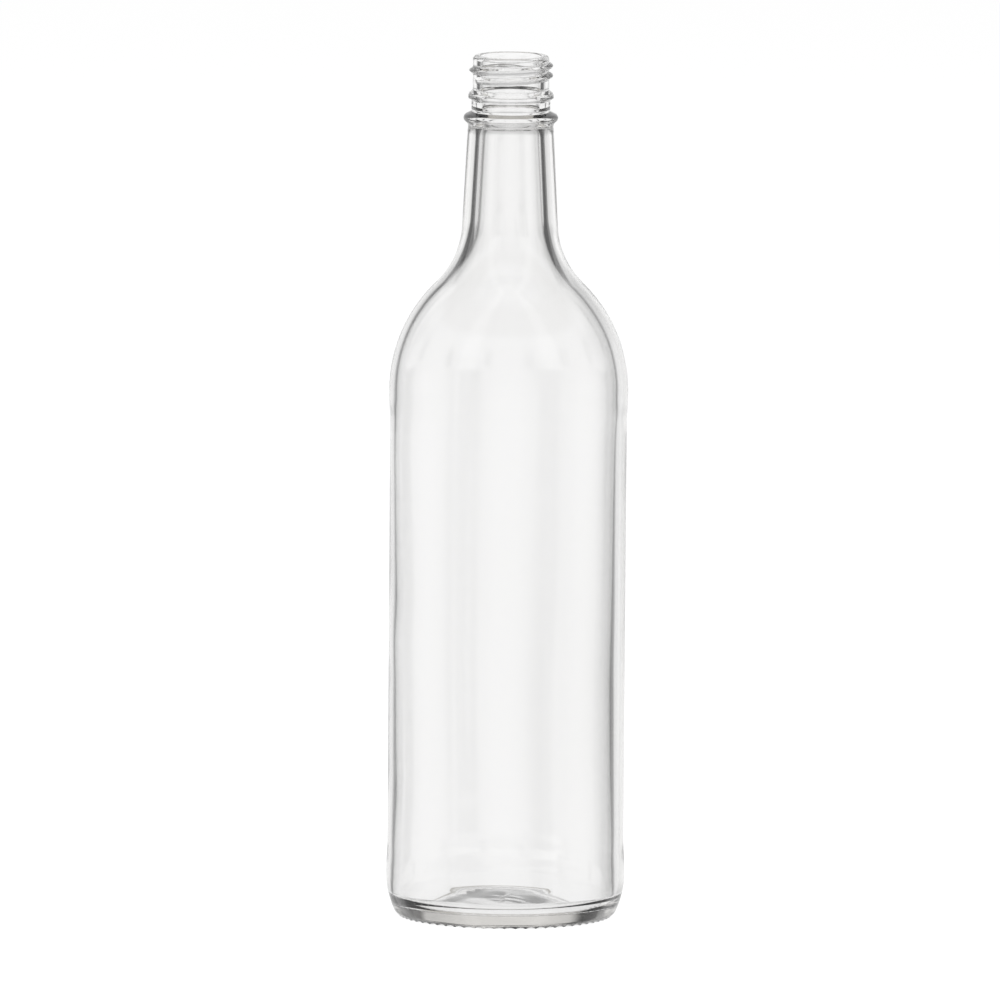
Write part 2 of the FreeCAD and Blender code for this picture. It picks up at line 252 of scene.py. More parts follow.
@dataclass(frozen=True)
class UnevenWall:
    """The inner wall of the body, as the blow leaves it.

    Attributes:
        least: glass that every part of the wall has.
        wander: how far the thickness strays between the thin side and the thick one.
        wander_turn: where that straying starts, in radians round the axis.
        wander_pitch: height over which it turns by one radian.
        facing: how squarely a surface has to face the axis before the wall thickens at all.
        facing_full: how squarely it faces the axis where it takes the whole thickness.
        foot: height above the push-up where the wall begins.
        levels: the thickness at each height, from the foot up.
    """

    least: float = 1.4 * MM
    wander: float = 0.3 * MM
    wander_turn: float = 0.6
    wander_pitch: float = 31.0 * MM
    facing: float = -0.2
    facing_full: float = -0.6
    foot: float = 1.0 * MM
    levels: tuple[WallLevel, ...] = (
        WallLevel(15.0 * MM, 2.4 * MM, 3.6 * MM),
        WallLevel(38.0 * MM, 3.0 * MM, 4.2 * MM),
        WallLevel(55.0 * MM, 2.75 * MM, 4.5 * MM),
        WallLevel(75.0 * MM, 2.45 * MM, 4.6 * MM),
        WallLevel(88.0 * MM, 2.25 * MM, 4.45 * MM),
        WallLevel(102.0 * MM, 2.55 * MM, 4.2 * MM),
        WallLevel(120.0 * MM, 2.3 * MM, 3.9 * MM),
        WallLevel(137.0 * MM, 2.05 * MM, 3.65 * MM),
        WallLevel(152.0 * MM, 1.95 * MM, 3.4 * MM),
        WallLevel(168.0 * MM, 2.35 * MM, 3.2 * MM),
        WallLevel(188.0 * MM, 2.2 * MM, 3.1 * MM),
        WallLevel(205.0 * MM, 1.95 * MM, 2.7 * MM),
        WallLevel(225.0 * MM, 1.4 * MM, 1.4 * MM),
    )

    @property
    def top(self) -> float:
        """Height where the wall is back to its least."""
        return self.levels[-1].height

    @property
    def most_thickening(self) -> float:
        """The greatest extra thickness that the inner wall is pushed by."""
        return max(level.thick for level in self.levels) - self.least + self.wander

    def sides_at(self, height: float) -> tuple[float, float]:
        """Read the thin and the thick side at a height, on a smooth curve through the levels."""
        levels = self.levels
        place = min(max(height, levels[0].height), self.top)
        index = max(i for i, level in enumerate(levels[:-1]) if place >= level.height)
        last = len(levels) - 1
        near = [levels[min(max(index + step, 0), last)] for step in (-1, 0, 1, 2)]
        share = (place - near[1].height) / (near[2].height - near[1].height)
        return (smooth_curve([level.thin for level in near], share),
                smooth_curve([level.thick for level in near], share))

    def share(self, point: SurfacePoint) -> float:
        """How much of the greatest extra thickness the wall takes at a point, up to 1."""
        thin, thick = self.sides_at(point.height)
        side = 0.5 + 0.5 * math.cos(point.azimuth)
        lean = math.sin(2.0 * point.azimuth + self.wander_turn + point.height / self.wander_pitch)
        lean *= math.sin(point.azimuth) ** 2
        glass = thin + (thick - thin) * side + self.wander * lean
        fade = ease(point.outward, self.facing, self.facing_full)
        return max(0.0, glass - self.least) / self.most_thickening * fade


@dataclass(frozen=True)
class FloorRipples:
    """Waves that the chilled glass leaves in the inner floor: rings, lobes and a swirl.

    Attributes:
        height: from the deepest trough to the highest crest.
        ring_size: distance over which the rings turn by one radian.
        ring_lean: how far the rings are pulled out of round, in radians.
        ring_start: where that pull begins, in radians.
        lobe_sizes: the same distance for the lobes, along X and along Y.
        lobe_starts: where the lobes begin along X and Y, in radians.
        swirl_sizes: the same distance for the swirl, along its two directions.
        swirl_leans: how far those two directions lean from X and from Y.
        level: mean height, as a share.
        ring_share: what the rings add to or take from the mean.
        lobe_share: what the lobes add or take.
        swirl_share: what the swirl adds or takes.
        calm_from: radius within which the waves are whole.
        calm_margin: how far inside the panel they end.
    """

    height: float = 0.4 * MM
    ring_size: float = 2.1 * MM
    ring_lean: float = 1.7
    ring_start: float = 0.5
    lobe_sizes: tuple[float, float] = (5.2 * MM, 4.1 * MM)
    lobe_starts: tuple[float, float] = (0.8, -0.4)
    swirl_sizes: tuple[float, float] = (3.3 * MM, 6.4 * MM)
    swirl_leans: tuple[float, float] = (0.6, 0.4)
    level: float = 0.5
    ring_share: float = 0.17
    lobe_share: float = 0.2
    swirl_share: float = 0.13
    calm_from: float = 22.0 * MM
    calm_margin: float = 6.0 * MM

    def share(self, point: SurfacePoint, panel_radius: float) -> float:
        """Height of the waves at a point of the floor, from 0 to 1.

        Args:
            point: a point of the inner floor.
            panel_radius: radius of the bottle's body.
        """
        x = point.radius * math.cos(point.azimuth)
        y = point.radius * math.sin(point.azimuth)
        pull = self.ring_lean * math.sin(point.azimuth * 2.0 + self.ring_start)
        rings = math.sin(point.radius / self.ring_size + pull)
        lobes = math.sin(x / self.lobe_sizes[0] + self.lobe_starts[0])
        lobes *= math.cos(y / self.lobe_sizes[1] + self.lobe_starts[1])
        swirl = math.sin((x + self.swirl_leans[0] * y) / self.swirl_sizes[0])
        swirl *= math.sin((y - self.swirl_leans[1] * x) / self.swirl_sizes[1])
        wave = (self.level + self.ring_share * rings + self.lobe_share * lobes
                + self.swirl_share * swirl)
        return wave * ease(point.radius, panel_radius - self.calm_margin, self.calm_from)


@dataclass
class GlassBottle:
    """The bottle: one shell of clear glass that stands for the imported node.

    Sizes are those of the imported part. "Proud" sizes are radial: how far one surface stands
    beyond another. Depths are measured down from the rim. Slacks and margins say how near a
    point has to be to a worked place to belong to it.
    """

    height: float
    panel_radius: float = 38.65 * MM
    heel_proud: float = 0.3 * MM
    heel_top: float = 17.3 * MM
    heel_bevel: float = 6.4 * MM
    heel_radius: float = 28.0 * MM
    foot_radius: float = 2.0 * MM
    bearing_inset: float = 4.5 * MM
    bearing_width: float = 2.5 * MM
    push_up: float = 4.0 * MM
    knurl_count: int = 64
    knurl_height: float = 0.5 * MM
    knurl_root: float = 2.0 * MM
    knurl_flat: float = 0.8 * MM
    knurl_ease: float = 0.2 * MM
    knurl_shift: float = 0.4 * MM
    knurl_fade: float = 0.3 * MM
    knurl_slack: float = 0.1 * MM
    knurl_facing: float = -0.5
    shoulder_depth: float = 110.0 * MM
    shoulder_proud: float = 0.4 * MM
    shoulder_band: float = 3.2 * MM
    shoulder_bevel: float = 5.2 * MM
    shoulder_radius: float = 49.1 * MM
    neck_fillet: float = 28.1 * MM
    neck_taper: float = math.radians(2.9)
    neck_wall: float = 4.9 * MM
    shoulder_wall: float = 3.3 * MM
    finish_radius: float = 12.45 * MM
    finish_wall: float = 2.65 * MM
    rim_radius: float = 1.2 * MM
    lip_radius: float = 0.8 * MM
    neck_proud: float = 1.5 * MM
    bead_depth: float = 20.4 * MM
    bead_proud: float = 3.0 * MM
    bead_radius: float = 1.4 * MM
    bead_under: float = 2.05 * MM
    bead_over: float = 2.15 * MM
    bead_from: float = math.radians(-50.0)
    bead_to: float = math.radians(62.0)
    collar_proud: float = 0.4 * MM
    ring_depth: float = 14.05 * MM
    ring_proud: float = 1.5 * MM
    ring_edge: float = 0.35 * MM
    ring_land: float = 0.85 * MM
    ring_round: float = 1.5 * MM
    ring_flank: float = math.radians(45.0)
    thread_pitch: float = 3.18 * MM
    thread_turns: float = 1.5
    thread_start: float = math.radians(-140.0)
    thread_depth: float = 7.7 * MM
    thread_proud: float = 1.25 * MM
    thread_root: float = 2.0 * MM
    thread_crest: float = 0.85 * MM
    thread_run_out: float = 0.07
    thread_ease: float = 0.35 * MM
    thread_slack: float = 0.05 * MM
    floor_thickness: float = 3.0 * MM
    floor_dome: float = 240.0 * MM
    floor_corner: float = 4.0 * MM
    floor_margin: float = 5.0 * MM
    floor_facing: float = 0.5
    wall: UnevenWall = UnevenWall()
    ripples: FloorRipples = FloorRipples()
    spacing: Spacing = Spacing()
    spin_steps: int = 256
    merge_distance: float = 0.01 * MM

    # ------------------------------------------------------------------ section

    def shoulder_and_neck(self, outline: Outline, shoulder_radius: float, neck_fillet: float,
                          neck: tuple[float, float], step: float, side_step: float) -> None:
        """Draw the shoulder curve, the neck's curve and the neck's leaning side.

        Args:
            outline: the section, at the foot of the shoulder.
            shoulder_radius: radius of the convex curve.
            neck_fillet: radius of the concave curve.
            neck: the upper end of the neck's side.
            step: the longest distance between two points of the curves.
            side_step: the same for the neck's side.
        """
        foot = outline.points[-1]
        shoulder = (foot[0] - shoulder_radius, foot[1])
        normal = (math.cos(self.neck_taper), math.sin(self.neck_taper))
        reach = shoulder_radius + neck_fillet
        gap = sum((a - b) * n for a, b, n in zip(neck, shoulder, normal)) + neck_fillet
        angle = self.neck_taper + math.acos(gap / reach)
        centre = (shoulder[0] + reach * math.cos(angle), shoulder[1] + reach * math.sin(angle))
        outline.arc(shoulder, angle, step)
        outline.arc(centre, math.pi + self.neck_taper, step)
        outline.line(*neck, side_step)

    def draw_base(self, outline: Outline) -> None:
        """Draw the underside and the heel, up to the label panel."""
        heel_x = self.panel_radius + self.heel_proud
        ring_outer = heel_x - self.bearing_inset
        ring_inner = ring_outer - self.bearing_width
        rise = self.push_up - self.knurl_height
        dome = (ring_inner ** 2 + rise ** 2) / (2.0 * rise)
        outline.start(0.0, self.push_up)
        middle = (0.0, self.push_up - dome)
        outline.arc(middle, math.atan2(self.knurl_height - middle[1], ring_inner),
                    self.spacing.dome)
        outline.line(ring_outer, self.knurl_height, self.spacing.foot)
        foot = (ring_outer, self.knurl_height + self.foot_radius)
        reach = self.heel_radius - self.foot_radius
        drop = self.heel_radius - (heel_x - foot[0])
        heel = (heel_x - self.heel_radius, foot[1] + math.sqrt(reach ** 2 - drop ** 2))
        outline.arc(foot, math.atan2(foot[1] - heel[1], foot[0] - heel[0]), self.spacing.foot)
        outline.arc(heel, 0.0, self.spacing.heel)
        outline.line(heel_x, self.heel_top, self.spacing.band)
        outline.line(self.panel_radius, self.heel_top + self.heel_bevel, self.spacing.heel)

    def draw_body(self, outline: Outline) -> None:
        """Draw the label panel, the shoulder and the neck."""
        top = self.height - self.shoulder_depth
        shoulder_x = self.panel_radius + self.shoulder_proud
        outline.line(self.panel_radius, top - self.shoulder_band - self.shoulder_bevel,
                     self.spacing.panel)
        outline.line(shoulder_x, top - self.shoulder_band, self.spacing.shoulder_bevel)
        outline.line(shoulder_x, top, self.spacing.band)
        neck = (self.finish_radius + self.neck_proud,
                self.height - self.bead_depth - self.bead_under)
        self.shoulder_and_neck(outline, self.shoulder_radius, self.neck_fillet, neck,
                               self.spacing.shoulder, self.spacing.neck_side)

    def draw_bead(self, outline: Outline) -> None:
        """Draw the transfer bead and the collar above it."""
        middle = self.height - self.bead_depth
        bead = (self.finish_radius + self.bead_proud - self.bead_radius, middle)
        outline.line(bead[0] + self.bead_radius * math.cos(self.bead_from),
                     bead[1] + self.bead_radius * math.sin(self.bead_from), self.spacing.bead_foot)
        outline.arc(bead, self.bead_to, self.spacing.bead)
        collar_x = self.finish_radius + self.collar_proud
        outline.line(collar_x, middle + self.bead_over, self.spacing.bead_flank)
        outline.line(collar_x, self.height - self.ring_depth, self.spacing.collar)

    def draw_ring(self, outline: Outline) -> None:
        """Draw the locking ring, from its flat underside to its flank."""
        lower = self.height - self.ring_depth
        ring_x = self.finish_radius + self.ring_proud
        outline.line(ring_x - self.ring_edge, lower, self.spacing.ring)
        outline.arc((ring_x - self.ring_edge, lower + self.ring_edge), 0.0, self.spacing.ring_edge)
        outline.line(ring_x, lower + self.ring_land, self.spacing.ring)
        outline.arc((ring_x - self.ring_round, lower + self.ring_land), self.ring_flank,
                    self.spacing.ring)
        leaves = outline.points[-1]
        run = leaves[0] - self.finish_radius
        outline.line(self.finish_radius, leaves[1] + run / math.tan(self.ring_flank),
                     self.spacing.ring)

    def draw_rim(self, outline: Outline) -> None:
        """Draw the plain wall that carries the thread, the rim and the bore."""
        outline.line(self.finish_radius, self.height - self.rim_radius, self.spacing.thread_wall)
        outline.arc((self.finish_radius - self.rim_radius, self.height - self.rim_radius),
                    math.pi / 2.0, self.spacing.rim)
        bore_x = self.finish_radius - self.finish_wall
        outline.line(bore_x + self.lip_radius, self.height, self.spacing.rim_land)
        outline.arc((bore_x + self.lip_radius, self.height - self.lip_radius), math.pi,
                    self.spacing.rim)
        outline.line(bore_x, self.height - self.ring_depth, self.spacing.bore)

    def draw_hollow(self, outline: Outline) -> None:
        """Draw the inside, from the bore down to the middle of the floor."""
        inner_neck = (self.finish_radius + self.neck_proud - self.neck_wall,
                      self.height - self.bead_depth - self.bead_under)
        wall_x = self.panel_radius - self.wall.least
        rising = Outline()
        rising.start(0.0, self.push_up + self.floor_thickness)
        middle = (0.0, self.push_up + self.floor_thickness - self.floor_dome)
        corner_x = wall_x - self.floor_corner
        reach = self.floor_dome + self.floor_corner
        corner = (corner_x, middle[1] + math.sqrt(reach ** 2 - corner_x ** 2))
        rising.arc(middle, math.atan2(corner[1] - middle[1], corner[0]), self.spacing.inner_floor)
        rising.arc(corner, 0.0, self.spacing.inner_corner)
        rising.line(wall_x, self.height - self.shoulder_depth, self.spacing.inner_wall)
        self.shoulder_and_neck(rising, self.shoulder_radius - self.shoulder_wall,
                               self.neck_fillet + self.neck_wall, inner_neck,
                               self.spacing.inner_shoulder, self.spacing.inner_neck_side)
        rising.line(*outline.points[-1], self.spacing.bore)
        outline.points.extend(reversed(rising.points[:-1]))

    # ------------------------------------------------------------------ shell

    def spin_shell(self, outline: Outline) -> bpy.types.Object:
        """Draw the section as a chain of edges and turn it once about Z.

        Args:
            outline: the closed half section, from the axis round to the axis.

        Returns:
            The shell, one closed surface.
        """
        deselect_all()
        bpy.ops.mesh.primitive_plane_add(size=MM, location=(0.0, 0.0, 0.0))
        shell = bpy.context.active_object
        shell.name = "glass_shell"
        bpy.ops.object.mode_set(mode="EDIT")
        bpy.ops.mesh.select_mode(type="VERT")
        bpy.ops.mesh.select_all(action="SELECT")
        bpy.ops.mesh.merge(type="CENTER")
        bpy.ops.transform.translate(value=(outline.points[0][0], 0.0, outline.points[0][1]))
        for here, there in zip(outline.points, outline.points[1:]):
            move = (there[0] - here[0], 0.0, there[1] - here[1])
            bpy.ops.mesh.extrude_region_move(TRANSFORM_OT_translate={"value": move})
        bpy.ops.mesh.select_all(action="SELECT")
        bpy.ops.mesh.spin(steps=self.spin_steps, angle=FULL_TURN, center=(0.0, 0.0, 0.0),
                          axis=(0.0, 0.0, 1.0))
        bpy.ops.mesh.select_all(action="SELECT")
        bpy.ops.mesh.remove_doubles(threshold=self.merge_distance)
        bpy.ops.mesh.normals_make_consistent(inside=False)
        bpy.ops.object.mode_set(mode="OBJECT")
        return shell

    def displace(self, shell: bpy.types.Object, name: str, depth: float, direction: Push,
                 share: Callable[[SurfacePoint], float]) -> None:
        """Push part of the shell one way, and apply the move.

        Args:
            shell: the surface to work.
            name: name of the vertex group that holds the share.
            depth: how far a full share moves.
            direction: along the surface's normals, or up.
            share: gives how much of the depth a point takes.
        """
        group = shell.vertex_groups.new(name=name)
        for vertex in shell.data.vertices:
            weight = share(SurfacePoint.of(vertex))
            if weight > 0.0:
                group.add([vertex.index], min(weight, 1.0), "REPLACE")
        make_active(shell)
        push = shell.modifiers.new(name, "DISPLACE")
        push.vertex_group = name
        push.direction = direction.value
        push.mid_level = 0.0
        push.strength = depth
        bpy.ops.object.modifier_apply(modifier=name)
        shell.vertex_groups.remove(shell.vertex_groups[name])
        LOG.info("worked %s", name)

    # ------------------------------------------------------------------ relief

    def thread_share(self, point: SurfacePoint) -> float:
        """Height of the thread at a point, as a share of its full height."""
        off_wall = abs(point.radius - self.finish_radius) > self.thread_slack
        if off_wall or point.height < self.height - self.ring_depth:
            return 0.0
        turn = ((point.azimuth - self.thread_start) / FULL_TURN) % 1.0
        foot = self.height - self.thread_depth
        best = 0.0
        for lap in (-1, 0, 1, 2):
            along = turn + lap
            ends = ease(along, -self.thread_run_out, self.thread_run_out)
            ends *= ease(along, self.thread_turns + self.thread_run_out,
                         self.thread_turns - self.thread_run_out)
            away = abs(point.height - foot - along * self.thread_pitch)
            best = max(best, ends * ease(away, self.thread_root / 2.0 + self.thread_ease,
                                         self.thread_crest / 2.0 - self.thread_ease))
        return best

    def knurl_share(self, point: SurfacePoint) -> float:
        """Height of the knurls at a point, as a share of their full height."""
        ring_outer = self.panel_radius + self.heel_proud - self.bearing_inset + self.knurl_shift
        ring_inner = ring_outer - self.bearing_width
        inner, outer = ring_inner - self.knurl_fade, ring_outer + self.knurl_slack
        if point.upward > self.knurl_facing or not inner < point.radius < outer:
            return 0.0
        pitch = FULL_TURN / self.knurl_count
        away = abs((point.azimuth + pitch / 2.0) % pitch - pitch / 2.0) * point.radius
        across = ease(away, self.knurl_root / 2.0 + self.knurl_ease,
                      self.knurl_flat / 2.0 - self.knurl_ease)
        return across * ease(point.radius, inner, ring_inner + self.knurl_fade)

    def wall_share(self, point: SurfacePoint) -> float:
        """Extra glass of the body at a point, as a share of the greatest."""
        foot = self.push_up + self.wall.foot
        if point.outward > self.wall.facing or not foot < point.height < self.wall.top:
            return 0.0
        return self.wall.share(point)

    def floor_share(self, point: SurfacePoint) -> float:
        """Height of the ripples at a point, as a share of their full height."""
        top = self.push_up + self.floor_thickness + self.floor_margin
        if point.upward < self.floor_facing or point.height > top:
            return 0.0
        return self.ripples.share(point, self.panel_radius)

    # ------------------------------------------------------------------ whole

    def build(self) -> bpy.types.Object:
        """Make the bottle's glass and return it."""
        outline = Outline()
        for draw in (self.draw_base, self.draw_body, self.draw_bead, self.draw_ring,
                     self.draw_rim, self.draw_hollow):
            draw(outline)
        LOG.info("section of %d points", len(outline.points))
        shell = self.spin_shell(outline)
        self.displace(shell, "thread", self.thread_proud, Push.NORMAL, self.thread_share)
        self.displace(shell, "knurls", -self.knurl_height, Push.UP, self.knurl_share)
        self.displace(shell, "inner_wall", self.wall.most_thickening, Push.NORMAL, self.wall_share)
        self.displace(shell, "inner_floor", self.ripples.height, Push.UP, self.floor_share)
        make_active(shell)
        bpy.ops.object.shade_smooth()
        return shell


@dataclass(frozen=True)
class ClearGlass:
    """Clear flint glass, colourless with a faint warm grey where it is thick.

    Attributes:
        tint: what one passage through a wall leaves of white.
        depth_colour: the light that a long way through the glass lets pass.
        depth_density: how soon that colour shows, for each metre.
        index: refractive index of soda-lime glass.
        roughness: a polished surface.
        wave_size: length of the long waves that the mould leaves in the surface.
        wave_depth: height of those waves.
        wave_stretch: how the waves are squeezed along X, Y and Z. Less than 1 draws them out.
        wave_detail: how many finer waves ride on the long ones.
        wave_fineness: how strong each finer set is beside the one before.
    """

    tint: Colour = (0.976, 0.976, 0.976, 1.0)
    depth_colour: Colour = (0.5, 0.47, 0.42, 1.0)
    depth_density: float = 10.0
    index: float = 1.52
    roughness: float = 0.006
    wave_size: float = 16.0 * MM
    wave_depth: float = 0.012 * MM
    wave_stretch: tuple[float, float, float] = (1.0, 1.0, 0.45)
    wave_detail: float = 2.0
    wave_fineness: float = 0.4

    def build(self) -> bpy.types.Material:
        """Make the material and return it."""
        material = bpy.data.materials.new("clear_flint_glass")
        material.use_nodes = True
        nodes, links = material.node_tree.nodes, material.node_tree.links
        shader = nodes["Principled BSDF"]
        shader.inputs["Base Color"].default_value = self.tint
        shader.inputs["Transmission Weight"].default_value = 1.0
        shader.inputs["IOR"].default_value = self.index
        shader.inputs["Roughness"].default_value = self.roughness
        place = nodes.new("ShaderNodeTexCoord")
        stretch = nodes.new("ShaderNodeMapping")
        stretch.inputs["Scale"].default_value = self.wave_stretch
        waves = nodes.new("ShaderNodeTexNoise")
        waves.inputs["Scale"].default_value = 1.0 / self.wave_size
        waves.inputs["Detail"].default_value = self.wave_detail
        waves.inputs["Roughness"].default_value = self.wave_fineness
        bump = nodes.new("ShaderNodeBump")
        bump.inputs["Strength"].default_value = 1.0
        bump.inputs["Distance"].default_value = self.wave_depth
        links.new(place.outputs["Object"], stretch.inputs["Vector"])
        links.new(stretch.outputs["Vector"], waves.inputs["Vector"])
        links.new(waves.outputs["Fac"], bump.inputs["Height"])
        links.new(bump.outputs["Normal"], shader.inputs["Normal"])
        depth = nodes.new("ShaderNodeVolumeAbsorption")
        depth.inputs["Color"].default_value = self.depth_colour
        depth.inputs["Density"].default_value = self.depth_density
        links.new(depth.outputs["Volume"], nodes["Material Output"].inputs["Volume"])
        return material


@dataclass
class NodeDesk:
    """Short ways to add nodes to one tree.

    Attributes:
        tree: the node tree to add to.
    """

    tree: bpy.types.NodeTree

    def put(self, socket: bpy.types.NodeSocket, value: Union[Value, Colour]) -> None:
        """Link a socket to another, or set its number or colour.

        Args:
            socket: the input to feed.
            value: what it takes.
        """
        if isinstance(value, bpy.types.NodeSocket):
            self.tree.links.new(value, socket)
        else:
            socket.default_value = value

    def feed(self, node: bpy.types.Node, *values: Value) -> None:
        """Link or set a node's inputs in order."""
        for socket, value in zip(node.inputs, values):
            self.put(socket, value)

    def math(self, operation: str, *values: Value) -> bpy.types.NodeSocket:
        """Add a Math node and return its output.

        Args:
            operation: name of the sum.
            values: numbers or sockets, in the node's order.
        """
        node = self.tree.nodes.new("ShaderNodeMath")
        node.operation = operation
        self.feed(node, *values)
        return node.outputs[0]

    def product(self, first: bpy.types.NodeSocket, *others: Value) -> bpy.types.NodeSocket:
        """Multiply values together, in order."""
        for other in others:
            first = self.math("MULTIPLY", first, other)
        return first

    def mix(self, share: Value, first: Value, second: Value) -> bpy.types.NodeSocket:
        """Pass from the first value to the second as the share rises.

        Args:
            share: 0 for the first, 1 for the second.
            first: a number or a socket.
            second: a number or a socket.
        """
        node = self.tree.nodes.new("ShaderNodeMix")
        self.feed(node, share)
        self.put(node.inputs["A"], first)
        self.put(node.inputs["B"], second)
        return node.outputs["Result"]

    def tone(self, share: Value, first: Colour, second: Colour) -> bpy.types.NodeSocket:
        """Pass from the first colour to the second as the share rises."""
        node = self.tree.nodes.new("ShaderNodeMix")
        node.data_type = "RGBA"
        self.feed(node, share)
        inputs = (socket for socket in node.inputs if socket.type == "RGBA")
        for socket, colour in zip(inputs, (first, second)):
            self.put(socket, colour)
        return next(socket for socket in node.outputs if socket.type == "RGBA")

    def ramp(self, value: Value, low: float, high: float) -> bpy.types.NodeSocket:
        """Rise smoothly from 0 at low to 1 at high.

        Args:
            value: what is read.
            low: where the result is 0.
            high: where the result is 1.
        """
        node = self.tree.nodes.new("ShaderNodeMapRange")
        node.interpolation_type = "SMOOTHSTEP"
        self.feed(node, value, low, high, 0.0, 1.0)
        return node.outputs["Result"]


@dataclass(frozen=True)
class DarkFrame:
    """One side of the dark frame round each white window, seen only through the glass.

    Attributes:
        inner: angle from the window's middle to where the frame begins.
        outer: angle from the window's middle to where the frame ends.
        fade_in: angle over which the inner edge fades.
        fade_out: angle over which the outer edge fades.
        level: brightness of the frame.
    """

    inner: float
    outer: float
    fade_in: float
    fade_out: float
    level: float

    def cover(self, desk: NodeDesk, away: bpy.types.NodeSocket) -> bpy.types.NodeSocket:
        """Work out how much of the frame lies in a direction.

        Args:
            desk: the world's nodes.
            away: angle from the middle of the nearest window.
        """
        return desk.product(desk.ramp(away, self.inner, self.inner + self.fade_in),
                            desk.ramp(away, self.outer, self.outer - self.fade_out))


